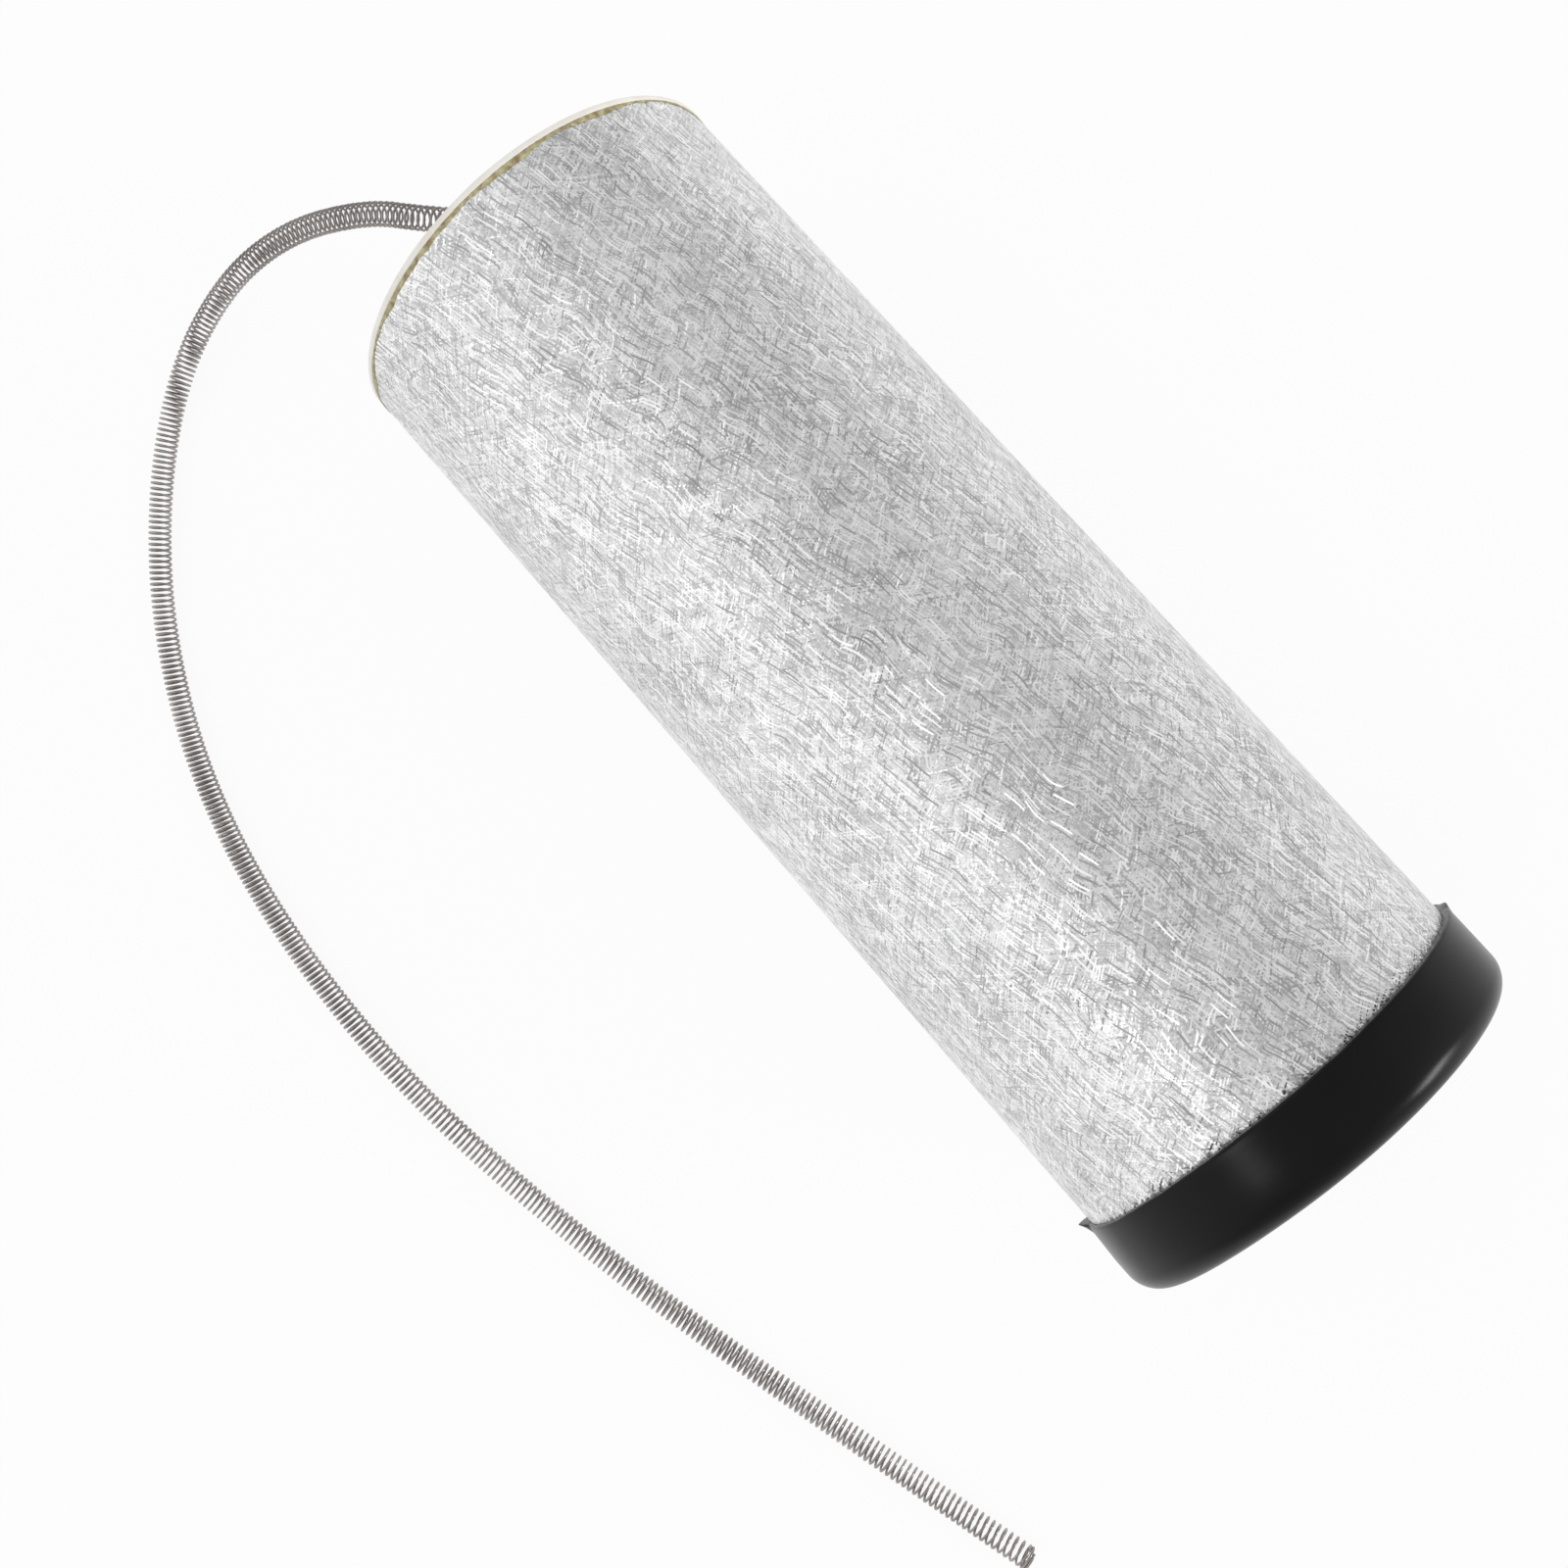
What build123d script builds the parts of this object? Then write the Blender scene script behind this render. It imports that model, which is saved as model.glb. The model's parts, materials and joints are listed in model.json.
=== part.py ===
"""Thunder tube: a spring drum lying on its side, modelled in millimetres.

The tube's axis runs along X, from the drumhead to the open end, with Z up.
The cap's lowest line is at Z = 0, and the origin is under the middle of the tube.
"""

import math
import os

from build123d import *

os.makedirs("parts", exist_ok=True)

# Tube and wrap
body_length = 200.0  # drumhead's outer face to the cap's end face
wrap_diameter = 76.0
wrap_thickness = 0.2
wrap_clearance = 0.1  # glue film between the wrap and the core
wrap_seam = 0.5  # gap of the butt seam along the tube's hidden side
wrap_seam_angle = 150.0  # turned from straight up, on the side away from the spring
core_wall = 2.5

# Cap on the open end
cap_wall = 1.8
cap_height = 14.1
cap_floor = 2.0
cap_clearance = 0.05
cap_end_radius = 4.0
cap_lip_radius = 0.5
mouth_diameter = 62.0
mouth_edge_radius = 0.4

# Drumhead
film_thickness = 0.8
film_overhang = 0.2  # how far the film stands out past the wrap
film_edge_radius = 0.25
glue_thickness = 0.5
glue_set_back = 0.1  # how far the glue line lies inside the wrap's surface

# Anchor at the drumhead's centre
patch_diameter = 18.0
patch_thickness = 0.3
eyelet_bore = 5.0
eyelet_wall = 0.4
eyelet_flange_diameter = 9.0
eyelet_flange = 0.4
eyelet_clearance = 0.05
washer_diameter = 8.0
washer_bore = 3.6
washer_thickness = 0.5
washer_clearance = 0.05
bead_diameter = 5.0
bead_clearance = 0.1  # between the bead and the washer's rim
bead_bore_clearance = 0.05

# Spring
spring_diameter = 4.8
wire_diameter = 0.5
spring_turns = 96
tail_length = 2.7  # straight tail between the drumhead's film and the first turn
hook_bend_radius = 1.0
hook_length = 2.0
hook_gap = 0.3  # between the bead and the hook's bend

# Places worked out from the sizes
wrap_radius = wrap_diameter / 2
core_outer_radius = wrap_radius - wrap_thickness - wrap_clearance
core_inner_radius = core_outer_radius - core_wall
cap_bore_radius = wrap_radius + cap_clearance
cap_outer_radius = cap_bore_radius + cap_wall
axis_height = cap_outer_radius

anchor_height = patch_thickness + eyelet_flange
front_x = -(body_length + anchor_height) / 2
film_x = front_x + anchor_height
glue_x = film_x + film_thickness
barrel_x = glue_x + glue_thickness
cap_end_x = film_x + body_length
cap_seat_x = cap_end_x - cap_floor
lip_x = cap_end_x - cap_height

eyelet_outer_radius = eyelet_bore / 2 + eyelet_wall
eyelet_inner_x = glue_x + eyelet_flange
washer_x = eyelet_inner_x + washer_clearance
bead_radius = bead_diameter / 2
bead_seat_depth = math.sqrt(bead_radius**2 - (washer_bore / 2) ** 2)
bead_x = washer_x + washer_thickness + bead_clearance + bead_seat_depth

tube_axis = Axis((0, 0, axis_height), (1, 0, 0))
profile_plane = Plane(origin=(0, 0, axis_height), x_dir=(1, 0, 0), z_dir=(0, -1, 0))


def save(part, name):
    """Label a finished piece and write its STEP file."""
    part.label = name
    export_step(part, f"parts/{name}.step")


def cross_plane(x):
    """A plane square to the tube's axis, facing the open end."""
    return Plane(origin=(x, 0, axis_height), x_dir=(0, 1, 0), z_dir=(1, 0, 0))


# Paperboard tube, open from the drumhead to the cap's inner rim
with BuildPart() as tube_core:
    with BuildSketch(cross_plane(barrel_x)):
        Circle(core_outer_radius)
        Circle(core_inner_radius, mode=Mode.SUBTRACT)
    extrude(amount=cap_seat_x - barrel_x)
save(tube_core.part, "tube_core")

# Metallised film round the tube, butted along one straight seam
with BuildPart() as silver_wrap:
    with BuildSketch(cross_plane(barrel_x)):
        Circle(wrap_radius)
        Circle(wrap_radius - wrap_thickness, mode=Mode.SUBTRACT)
        with PolarLocations(wrap_radius, 1, start_angle=90 - wrap_seam_angle):
            Rectangle(4 * wrap_thickness, wrap_seam, mode=Mode.SUBTRACT)
    extrude(amount=cap_seat_x - barrel_x)
save(silver_wrap.part, "silver_wrap")

# Ring of glue between the tube's end and the drumhead
with BuildPart() as head_glue:
    with BuildSketch(cross_plane(glue_x)):
        Circle(wrap_radius - glue_set_back)
        Circle(core_inner_radius, mode=Mode.SUBTRACT)
    extrude(amount=glue_thickness)
save(head_glue.part, "head_glue")

# Stiff film drumhead with a hole for the eyelet
with BuildPart() as drumhead:
    with BuildSketch(cross_plane(film_x)):
        Circle(wrap_radius + film_overhang)
        Circle(eyelet_outer_radius + eyelet_clearance, mode=Mode.SUBTRACT)
    extrude(amount=film_thickness)
    rim_edges = drumhead.edges().filter_by(GeomType.CIRCLE).sort_by(SortBy.RADIUS)[-2:]
    fillet(rim_edges, radius=film_edge_radius)
save(drumhead.part, "drumhead")

# Reinforcing disc on the drumhead's outer face
with BuildPart() as centre_patch:
    with BuildSketch(cross_plane(film_x - patch_thickness)):
        Circle(patch_diameter / 2)
        Circle(eyelet_outer_radius + eyelet_clearance, mode=Mode.SUBTRACT)
    extrude(amount=patch_thickness)
save(centre_patch.part, "centre_patch")

# Tubular eyelet that clamps the patch and the film between its two flanges
with BuildPart() as eyelet:
    with BuildSketch(profile_plane):
        with BuildLine():
            Polyline(
                (front_x, eyelet_bore / 2),
                (front_x, eyelet_flange_diameter / 2),
                (front_x + eyelet_flange, eyelet_flange_diameter / 2),
                (front_x + eyelet_flange, eyelet_outer_radius),
                (glue_x, eyelet_outer_radius),
                (glue_x, eyelet_flange_diameter / 2),
                (eyelet_inner_x, eyelet_flange_diameter / 2),
                (eyelet_inner_x, eyelet_bore / 2),
                close=True,
            )
        make_face()
    revolve(axis=tube_axis)
    rings = eyelet.edges().filter_by(GeomType.CIRCLE).group_by(Axis.X)
    mouths = [rings[end].sort_by(SortBy.RADIUS)[0] for end in (0, -1)]
    fillet(mouths, radius=eyelet_flange / 2)
save(eyelet.part, "eyelet")

# Loose washer inside the drumhead, which the bead pulls up against
with BuildPart() as tail_washer:
    with BuildSketch(cross_plane(washer_x)):
        Circle(washer_diameter / 2)
        Circle(washer_bore / 2, mode=Mode.SUBTRACT)
    extrude(amount=washer_thickness)
save(tail_washer.part, "tail_washer")

# Drilled bead threaded on the spring's tail
with BuildPart() as stop_bead:
    with Locations((bead_x, 0, axis_height)):
        Sphere(bead_radius)
    with Locations(cross_plane(bead_x)):
        Cylinder(wire_diameter / 2 + bead_bore_clearance, 2 * bead_diameter, mode=Mode.SUBTRACT)
save(stop_bead.part, "stop_bead")

# Soft plastic cap over the open end, with a wide mouth in its floor
with BuildPart() as end_cap:
    with BuildSketch(profile_plane):
        with BuildLine():
            Polyline(
                (lip_x, cap_bore_radius),
                (lip_x, cap_outer_radius),
                (cap_end_x, cap_outer_radius),
                (cap_end_x, mouth_diameter / 2),
                (cap_seat_x, mouth_diameter / 2),
                (cap_seat_x, cap_bore_radius),
                close=True,
            )
        outline = make_face()
        corners = outline.vertices()
        end_corner = corners.group_by(Axis.X)[-1].sort_by(Axis.Y)[-1]
        mouth_corner = corners.group_by(Axis.X)[-1].sort_by(Axis.Y)[0]
        lip_corner = corners.group_by(Axis.X)[0].sort_by(Axis.Y)[-1]
        fillet(end_corner, radius=cap_end_radius)
        fillet(mouth_corner, radius=mouth_edge_radius)
        fillet(lip_corner, radius=cap_lip_radius)
    revolve(axis=tube_axis)
save(end_cap.part, "end_cap")

# Route of the spring: distance from the drumhead along X, sideways place, and height over the floor
floor_line = spring_diameter / 2
spring_route = [
    (-tail_length, 0.0, axis_height),
    (-9.0, 0.0, axis_height),
    (-15.0, -2.5, 39.3),
    (-25.5, -10.5, 36.8),
    (-38.0, -17.5, 30.5),
    (-53.0, -32.5, 20.5),
    (-61.5, -50.5, 10.0),
    (-59.5, -72.0, floor_line),
    (-42.5, -93.0, floor_line),
    (-19.0, -111.5, floor_line),
    (11.0, -125.5, floor_line),
    (46.0, -132.3, floor_line),
    (90.0, -132.3, floor_line),
    (140.0, -123.0, floor_line),
    (188.0, -109.6, floor_line),
    (236.0, -94.6, floor_line),
]
route_points = [Vector(film_x + x, y, z) for x, y, z in spring_route]
arc_share = 0.45  # share of the shorter run that each arc takes up


def arc_radii(points):
    """The radius of the arc at each inner point of the route."""
    radii = []
    for before, corner, after in zip(points, points[1:], points[2:]):
        run_in = corner - before
        run_out = after - corner
        half_turn = math.radians(run_in.get_angle(run_out) / 2)
        radii.append(arc_share * min(run_in.length, run_out.length) / math.tan(half_turn))
    return radii


route_radii = arc_radii(route_points)
print("route radii:", [round(radius, 1) for radius in route_radii])
route_line = FilletPolyline(*route_points, radius=route_radii)
route_length = route_line.length
coil_radius = (spring_diameter - wire_diameter) / 2
pitch = route_length / spring_turns


def coil_point(turns):
    """The wire's place and direction after a number of turns along the route."""
    along = turns / spring_turns
    centre = route_line.position_at(along)
    forward = route_line.tangent_at(along)
    side = Vector(0, 0, 1).cross(forward).normalized()
    up = forward.cross(side)
    angle = 2 * math.pi * turns
    place = centre + (side * math.cos(angle) + up * math.sin(angle)) * coil_radius
    around = up * math.cos(angle) - side * math.sin(angle)
    direction = forward * pitch + around * (2 * math.pi * coil_radius)
    return place, direction.normalized()


def biarc(start, start_direction, end, end_direction):
    """Two tangent arcs that join two points along their directions."""
    chord = end - start
    both = start_direction + end_direction
    closing = 2 * (1 - start_direction.dot(end_direction))
    reach = chord.dot(both)
    arm = (math.sqrt(reach**2 + closing * chord.dot(chord)) - reach) / closing
    middle = (start + end + (start_direction - end_direction) * arm) * 0.5
    first = TangentArc(start, middle, tangent=start_direction)
    second = TangentArc(middle, end, tangent=first % 1)
    return [first, second]


# The wire's tail, straight through the bead, the washer and the eyelet, with a hook behind the bead
hook_x = bead_x + bead_radius + hook_gap
hook_end = Vector(hook_x, 0, axis_height)
hook_foot = hook_end + Vector(hook_bend_radius, 0, hook_bend_radius)
hook_tip = hook_foot + Vector(0, 0, hook_length)
tail_end = route_points[0]
wire_edges = [
    Line(hook_tip, hook_foot),
    TangentArc(hook_foot, hook_end, tangent=hook_foot - hook_tip),
    Line(hook_end, tail_end),
]

# The curls, two biarcs to each, and a short straight end
place = tail_end
direction = (tail_end - hook_end).normalized()
for half_turn in range(1, 2 * spring_turns + 1):
    next_place, next_direction = coil_point(half_turn / 2)
    wire_edges += biarc(place, direction, next_place, next_direction)
    place = next_place
    direction = next_direction
wire_edges.append(Line(place, place + direction * wire_diameter))
wire_path = Wire(wire_edges)


sample_count = 4  # points measured on each arc
half_curl_count = 2 * sample_count  # points in half a curl, which is one biarc
near_curls_count = 6 * half_curl_count  # points in the three curls that follow


def least_gap(edges):
    """The least clear distance of the wire to itself, between points at least half a curl apart."""
    points = [tuple(edge @ (step / sample_count)) for edge in edges for step in range(sample_count)]
    gaps = []
    for index, point in enumerate(points):
        for other in points[index + half_curl_count : index + near_curls_count]:
            gaps.append(math.dist(point, other) - wire_diameter)
    return min(gaps)


bend_radii = [edge.radius for edge in wire_edges if edge.geom_type == GeomType.CIRCLE]
print("route length:", round(route_length, 1), "wire length:", round(wire_path.length, 1))
print("least gap of the spring to itself:", round(least_gap(wire_edges), 2))
print("tightest bend of the wire:", round(min(bend_radii), 2))

# Long limp spring with its tail, one unbroken wire
with BuildPart() as spring:
    with BuildSketch(Plane(origin=hook_tip, z_dir=hook_foot - hook_tip)):
        Circle(wire_diameter / 2)
    sweep(path=wire_path)
save(spring.part, "spring")
wire_volume = math.pi * wire_diameter**2 / 4 * wire_path.length
print("spring volume over section times length:", round(spring.part.volume / wire_volume, 4))
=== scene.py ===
"""Thunder tube: a spring drum lying on its side, dressed over its CAD frame. Lengths are in metres."""

import json
import math

import bmesh
import bpy
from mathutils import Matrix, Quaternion, Vector, noise


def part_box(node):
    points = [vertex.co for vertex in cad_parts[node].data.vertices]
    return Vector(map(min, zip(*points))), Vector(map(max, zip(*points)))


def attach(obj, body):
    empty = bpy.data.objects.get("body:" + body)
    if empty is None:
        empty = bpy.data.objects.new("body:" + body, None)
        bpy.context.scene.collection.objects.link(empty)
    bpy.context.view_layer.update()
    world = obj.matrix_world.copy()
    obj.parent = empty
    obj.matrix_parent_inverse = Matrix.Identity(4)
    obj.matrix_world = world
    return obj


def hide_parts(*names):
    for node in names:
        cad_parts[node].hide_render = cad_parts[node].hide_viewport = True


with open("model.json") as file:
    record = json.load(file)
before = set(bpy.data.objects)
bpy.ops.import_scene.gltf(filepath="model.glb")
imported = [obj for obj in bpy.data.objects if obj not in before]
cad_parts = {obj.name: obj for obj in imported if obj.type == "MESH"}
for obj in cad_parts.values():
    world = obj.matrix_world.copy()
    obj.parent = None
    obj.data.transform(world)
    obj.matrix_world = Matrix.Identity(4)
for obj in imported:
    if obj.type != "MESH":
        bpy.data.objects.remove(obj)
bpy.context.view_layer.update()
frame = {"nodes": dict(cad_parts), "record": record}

mm = 0.001

# Places and sizes read from the frame
wrap_low, wrap_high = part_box("silver_wrap")
core_low, core_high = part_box("tube_core")
cap_low, cap_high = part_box("end_cap")
film_low, film_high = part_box("drumhead")
glue_low, glue_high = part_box("head_glue")
patch_low, patch_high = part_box("centre_patch")
eyelet_low, eyelet_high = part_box("eyelet")
washer_low, washer_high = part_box("tail_washer")
bead_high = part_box("stop_bead")[1]


def radius_of(low, high):
    """Half the width of a round piece."""
    return (high.y - low.y) / 2


axis_height = (cap_low.z + cap_high.z) / 2
wrap_radius = radius_of(wrap_low, wrap_high)
core_radius = radius_of(core_low, core_high)
cap_radius = radius_of(cap_low, cap_high)
film_radius = radius_of(film_low, film_high)
patch_radius = radius_of(patch_low, patch_high)
eyelet_flange_radius = radius_of(eyelet_low, eyelet_high)
washer_radius = radius_of(washer_low, washer_high)
mouth = next(mount for mount in frame["record"]["mounts"] if mount["name"] == "mouth")
mouth_radius = mouth["dims"]["r_mm"] * mm

# Sizes that repeat the part's own
wrap_thickness = 0.2 * mm
wrap_seam = 0.5 * mm
wrap_seam_angle = math.radians(150)
core_wall = 2.5 * mm
cap_floor = 2.0 * mm
cap_clearance = 0.05 * mm
cap_end_radius = 4.0 * mm
cap_lip_radius = 0.5 * mm
mouth_edge_radius = 0.4 * mm
film_edge_radius = 0.25 * mm
eyelet_bore_radius = 2.5 * mm
eyelet_wall = 0.4 * mm
washer_bore_radius = 1.8 * mm
spring_diameter = 4.8 * mm
wire_diameter = 0.5 * mm
hook_gap = 0.3 * mm
hook_bend_radius = 1.0 * mm
hook_length = 2.0 * mm


# Tools for meshes
def add_piece(name, bm, material, body, slot, *nodes, sharp_angle=40):
    """Turn a bmesh into a smooth piece that rides on a body and stands for its CAD nodes."""
    mesh = bpy.data.meshes.new(name)
    bmesh.ops.recalc_face_normals(bm, faces=bm.faces)
    bm.to_mesh(mesh)
    bm.free()
    mesh.materials.append(material)
    mesh.shade_smooth()
    mesh.set_sharp_from_angle(angle=math.radians(sharp_angle))
    piece = bpy.data.objects.new(name, mesh)
    bpy.context.scene.collection.objects.link(piece)
    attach(piece, body)
    if nodes:
        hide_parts(*nodes)
    return piece


def on_tube(x, radius, angle):
    """A point at a distance along the tube, a radius and an angle from straight up towards +Y."""
    return Vector((x, radius * math.sin(angle), axis_height + radius * math.cos(angle)))


def corner_arc(centre_x, centre_radius, radius, start, end, steps):
    """Points of a rounded corner in a profile, from one angle in degrees to another."""
    points = []
    for step in range(steps + 1):
        angle = math.radians(start + (end - start) * step / steps)
        points.append((centre_x + radius * math.cos(angle), centre_radius + radius * math.sin(angle)))
    return points


def split_runs(profile, longest):
    """The closed profile with its long runs divided, so that a shape can change along them."""
    points = []
    for (x0, r0), (x1, r1) in zip(profile, profile[1:] + profile[:1]):
        count = max(1, math.ceil(math.hypot(x1 - x0, r1 - r0) / longest))
        points += [(x0 + (x1 - x0) * k / count, r0 + (r1 - r0) * k / count) for k in range(count)]
    return points


def turned(profile, segments, shape=None):
    """A bmesh ring: a closed profile of (x, radius) turned about the tube's axis, bent by shape if given."""
    bm = bmesh.new()
    rings = []
    for segment in range(segments):
        angle = 2 * math.pi * segment / segments
        points = [shape(x, radius, angle) if shape else (x, radius) for x, radius in profile]
        rings.append([bm.verts.new(on_tube(x, radius, angle)) for x, radius in points])
    for ring, after in zip(rings, rings[1:] + rings[:1]):
        for k in range(len(profile)):
            bm.faces.new((ring[k - 1], ring[k], after[k], after[k - 1]))
    return bm


def ripple(angle, waves, seed):
    """A smooth value from -1 to 1 that changes round the tube and closes on itself."""
    return noise.noise(Vector((math.cos(angle), math.sin(angle), 0.0)) * waves + Vector((0, 0, seed)))


# Tools for materials
def add_node(tree, kind, inputs=None, **settings):
    """Add a node, set its settings, and link or set its inputs."""
    made = tree.nodes.new(kind)
    for name, value in settings.items():
        setattr(made, name, value)
    for name, value in (inputs or {}).items():
        if isinstance(value, bpy.types.NodeSocket):
            tree.links.new(value, made.inputs[name])
        else:
            made.inputs[name].default_value = value
    return made


def add_math(tree, operation, *values):
    """The result of a maths node."""
    return add_node(tree, "ShaderNodeMath", dict(enumerate(values)), operation=operation).outputs[0]


def add_range(tree, value, low, high, out_low, out_high, smooth=False):
    """A value brought from one range to another, clamped at both ends."""
    inputs = {"Value": value, "From Min": low, "From Max": high, "To Min": out_low, "To Max": out_high}
    kind = "SMOOTHSTEP" if smooth else "LINEAR"
    return add_node(tree, "ShaderNodeMapRange", inputs, interpolation_type=kind).outputs["Result"]


def add_noise(tree, place, scale, detail=2.0, seed=0.0):
    """A noise value, about 0.5 on average."""
    inputs = {"Vector": place, "W": seed, "Scale": scale, "Detail": detail}
    return add_node(tree, "ShaderNodeTexNoise", inputs, noise_dimensions="4D").outputs["Fac"]


def add_vector(tree, operation, first, second):
    """The vector result of a vector maths node."""
    inputs = {0: first, 1: second}
    return add_node(tree, "ShaderNodeVectorMath", inputs, operation=operation).outputs["Vector"]


def add_scaled(tree, vector, share):
    """A vector made longer or shorter by a value."""
    inputs = {0: vector, "Scale": share}
    return add_node(tree, "ShaderNodeVectorMath", inputs, operation="SCALE").outputs["Vector"]


def add_unit(tree, vector):
    """A vector brought to a length of one."""
    return add_node(tree, "ShaderNodeVectorMath", {0: vector}, operation="NORMALIZE").outputs["Vector"]


def add_dot(tree, first, second):
    """The dot product of two vectors."""
    inputs = {0: first, 1: second}
    return add_node(tree, "ShaderNodeVectorMath", inputs, operation="DOT_PRODUCT").outputs["Value"]


def add_mix(tree, share, first, second):
    """A colour between two colours."""
    mixer = add_node(tree, "ShaderNodeMix", data_type="RGBA")
    for socket, value in zip((mixer.inputs[0], mixer.inputs[6], mixer.inputs[7]), (share, first, second)):
        if isinstance(value, bpy.types.NodeSocket):
            tree.links.new(value, socket)
        else:
            socket.default_value = value
    return mixer.outputs[2]


def new_material(name, **inputs):
    """A material with one Principled surface, and the node tree that it stands in."""
    material = bpy.data.materials.new(name)
    material.use_nodes = True
    tree = material.node_tree
    surface = tree.nodes["Principled BSDF"]
    for socket, value in inputs.items():
        surface.inputs[socket.replace("_", " ")].default_value = value
    return material, tree, surface


def object_place(tree):
    """The place on a piece in its own coordinates, in metres."""
    return add_node(tree, "ShaderNodeTexCoord").outputs["Object"]


def around_tube(tree):
    """The place on the tube in millimetres: along its axis, and round it."""
    axes = add_node(tree, "ShaderNodeSeparateXYZ", {"Vector": object_place(tree)}).outputs
    height = add_math(tree, "SUBTRACT", axes["Z"], axis_height)
    angle = add_math(tree, "ARCTAN2", axes["Y"], height)
    along = add_math(tree, "DIVIDE", axes["X"], mm)
    round_it = add_math(tree, "MULTIPLY", angle, wrap_radius / mm)
    return add_node(tree, "ShaderNodeCombineXYZ", {"X": along, "Y": round_it}).outputs["Vector"]


# Hair strokes: they lie in rows, and each row is slid along by an amount of its own
row_share = 0.5  # part of a row's width that its strokes take up
row_turn = 12.99  # this and the next number only scatter the rows
row_slide = 437.6
stroke_lean = 0.4  # how far a stroke may lean and bow in its row
stroke_bow = 0.7
edge_outside = 0.6  # where a stroke's soft edge ends and starts, in widths from its middle line
edge_inside = 0.4
end_outside = 0.48  # and the same for its ends, in lengths from its middle
end_inside = 0.38


def stroke_group():
    """Node group for a layer of hair strokes over the layers below.

    In its vector output, x and y are a stroke's slopes and z is its painted glint and shade: how much lighter
    or darker the stroke's colour is drawn.
    """
    tree = bpy.data.node_groups.new("hair_strokes", "ShaderNodeTree")
    for name in ("Place", "Along", "Across", "Below"):
        tree.interface.new_socket(name, in_out="INPUT", socket_type="NodeSocketVector")
    for name in ("Seed", "Cover"):
        tree.interface.new_socket(name, in_out="INPUT", socket_type="NodeSocketFloat")
    tree.interface.new_socket("Strokes", in_out="OUTPUT", socket_type="NodeSocketFloat")
    tree.interface.new_socket("Slopes_and_Glint", in_out="OUTPUT", socket_type="NodeSocketVector")
    given = add_node(tree, "NodeGroupInput").outputs
    across = add_math(tree, "ADD", add_dot(tree, given["Place"], given["Across"]), given["Seed"])
    row = add_math(tree, "FLOOR", across)
    slide = add_math(tree, "SINE", add_math(tree, "MULTIPLY", row, row_turn))
    slide = add_math(tree, "MULTIPLY", slide, row_slide)
    along = add_math(tree, "ADD", add_dot(tree, given["Place"], given["Along"]), slide)
    cell = add_node(tree, "ShaderNodeCombineXYZ", {"X": add_math(tree, "FLOOR", along), "Y": row})
    chance = add_node(tree, "ShaderNodeTexWhiteNoise", {"Vector": cell.outputs[0]}, noise_dimensions="2D")
    chances = add_node(tree, "ShaderNodeSeparateColor", {"Color": chance.outputs["Color"]}).outputs
    run = add_math(tree, "SUBTRACT", add_math(tree, "FRACT", along), 0.5)
    rise = add_math(tree, "SUBTRACT", add_math(tree, "FRACT", across), 0.5)
    leaning = add_range(tree, chances["Red"], 0, 1, -stroke_lean, stroke_lean)
    lean = add_math(tree, "MULTIPLY", run, leaning)
    arch = add_math(tree, "MULTIPLY", run, run)
    bowing = add_range(tree, chances["Blue"], 0, 1, -stroke_bow, stroke_bow)
    bow = add_math(tree, "MULTIPLY", arch, bowing)
    off_line = add_math(tree, "SUBTRACT", add_math(tree, "SUBTRACT", rise, lean), bow)
    away = add_math(tree, "ABSOLUTE", off_line)
    edge = add_range(tree, away, row_share * edge_outside, row_share * edge_inside, 0.0, 1.0)
    ends = add_range(tree, add_math(tree, "ABSOLUTE", run), end_outside, end_inside, 0.0, 1.0)
    kept = add_math(tree, "LESS_THAN", chances["Green"], given["Cover"])
    mask = add_math(tree, "MULTIPLY", add_math(tree, "MULTIPLY", edge, ends), kept)
    depth = add_range(tree, chance.outputs["Value"], 0, 1, -1.0, 1.0)
    slope = add_scaled(tree, add_unit(tree, given["Across"]), depth)
    # Painted glint and shade: the stroke's colour drawn lighter or darker, standing in for the light that the
    # stroke catches.
    shade = add_range(tree, chances["Blue"], 0, 1, -1.0, 1.0)
    painted_glint_shade = add_node(tree, "ShaderNodeCombineXYZ", {"Z": shade}).outputs["Vector"]
    tilt_and_glint = add_vector(tree, "ADD", slope, painted_glint_shade)
    mixer = add_node(tree, "ShaderNodeMix", data_type="VECTOR")
    tree.links.new(mask, mixer.inputs[0])
    tree.links.new(given["Below"], mixer.inputs[4])
    tree.links.new(tilt_and_glint, mixer.inputs[5])
    strokes = add_math(tree, "MULTIPLY", mask, depth)
    add_node(tree, "NodeGroupOutput", {"Strokes": strokes, "Slopes_and_Glint": mixer.outputs[1]})
    return tree


hair_strokes = stroke_group()


def add_strokes(tree, place, angle, length, width, seed, cover=1.0, below=(0, 0, 0)):
    """One layer of hair strokes, in degrees and millimetres, with the share of them that is kept."""
    turn = math.radians(angle)
    along = Vector((math.cos(turn), math.sin(turn), 0)) / length
    across = Vector((-math.sin(turn), math.cos(turn), 0)) * row_share / width
    layer = tree.nodes.new("ShaderNodeGroup")
    layer.node_tree = hair_strokes
    inputs = {"Place": place, "Along": along, "Across": across, "Seed": seed, "Cover": cover, "Below": below}
    for name, value in inputs.items():
        if isinstance(value, bpy.types.NodeSocket):
            tree.links.new(value, layer.inputs[name])
        else:
            layer.inputs[name].default_value = value
    return layer.outputs


def paint(tree, surface, value, low, high, first, second):
    """Colour the surface from one colour to another as a value goes from low to high."""
    colour = add_mix(tree, add_range(tree, value, low, high, 0.0, 1.0), first, second)
    tree.links.new(colour, surface.inputs["Base Color"])


def roughen(tree, surface, value, first, second):
    """Take the surface from one roughness to another over most of a noise's range."""
    tree.links.new(add_range(tree, value, 0.3, 0.7, first, second), surface.inputs["Roughness"])


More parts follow.
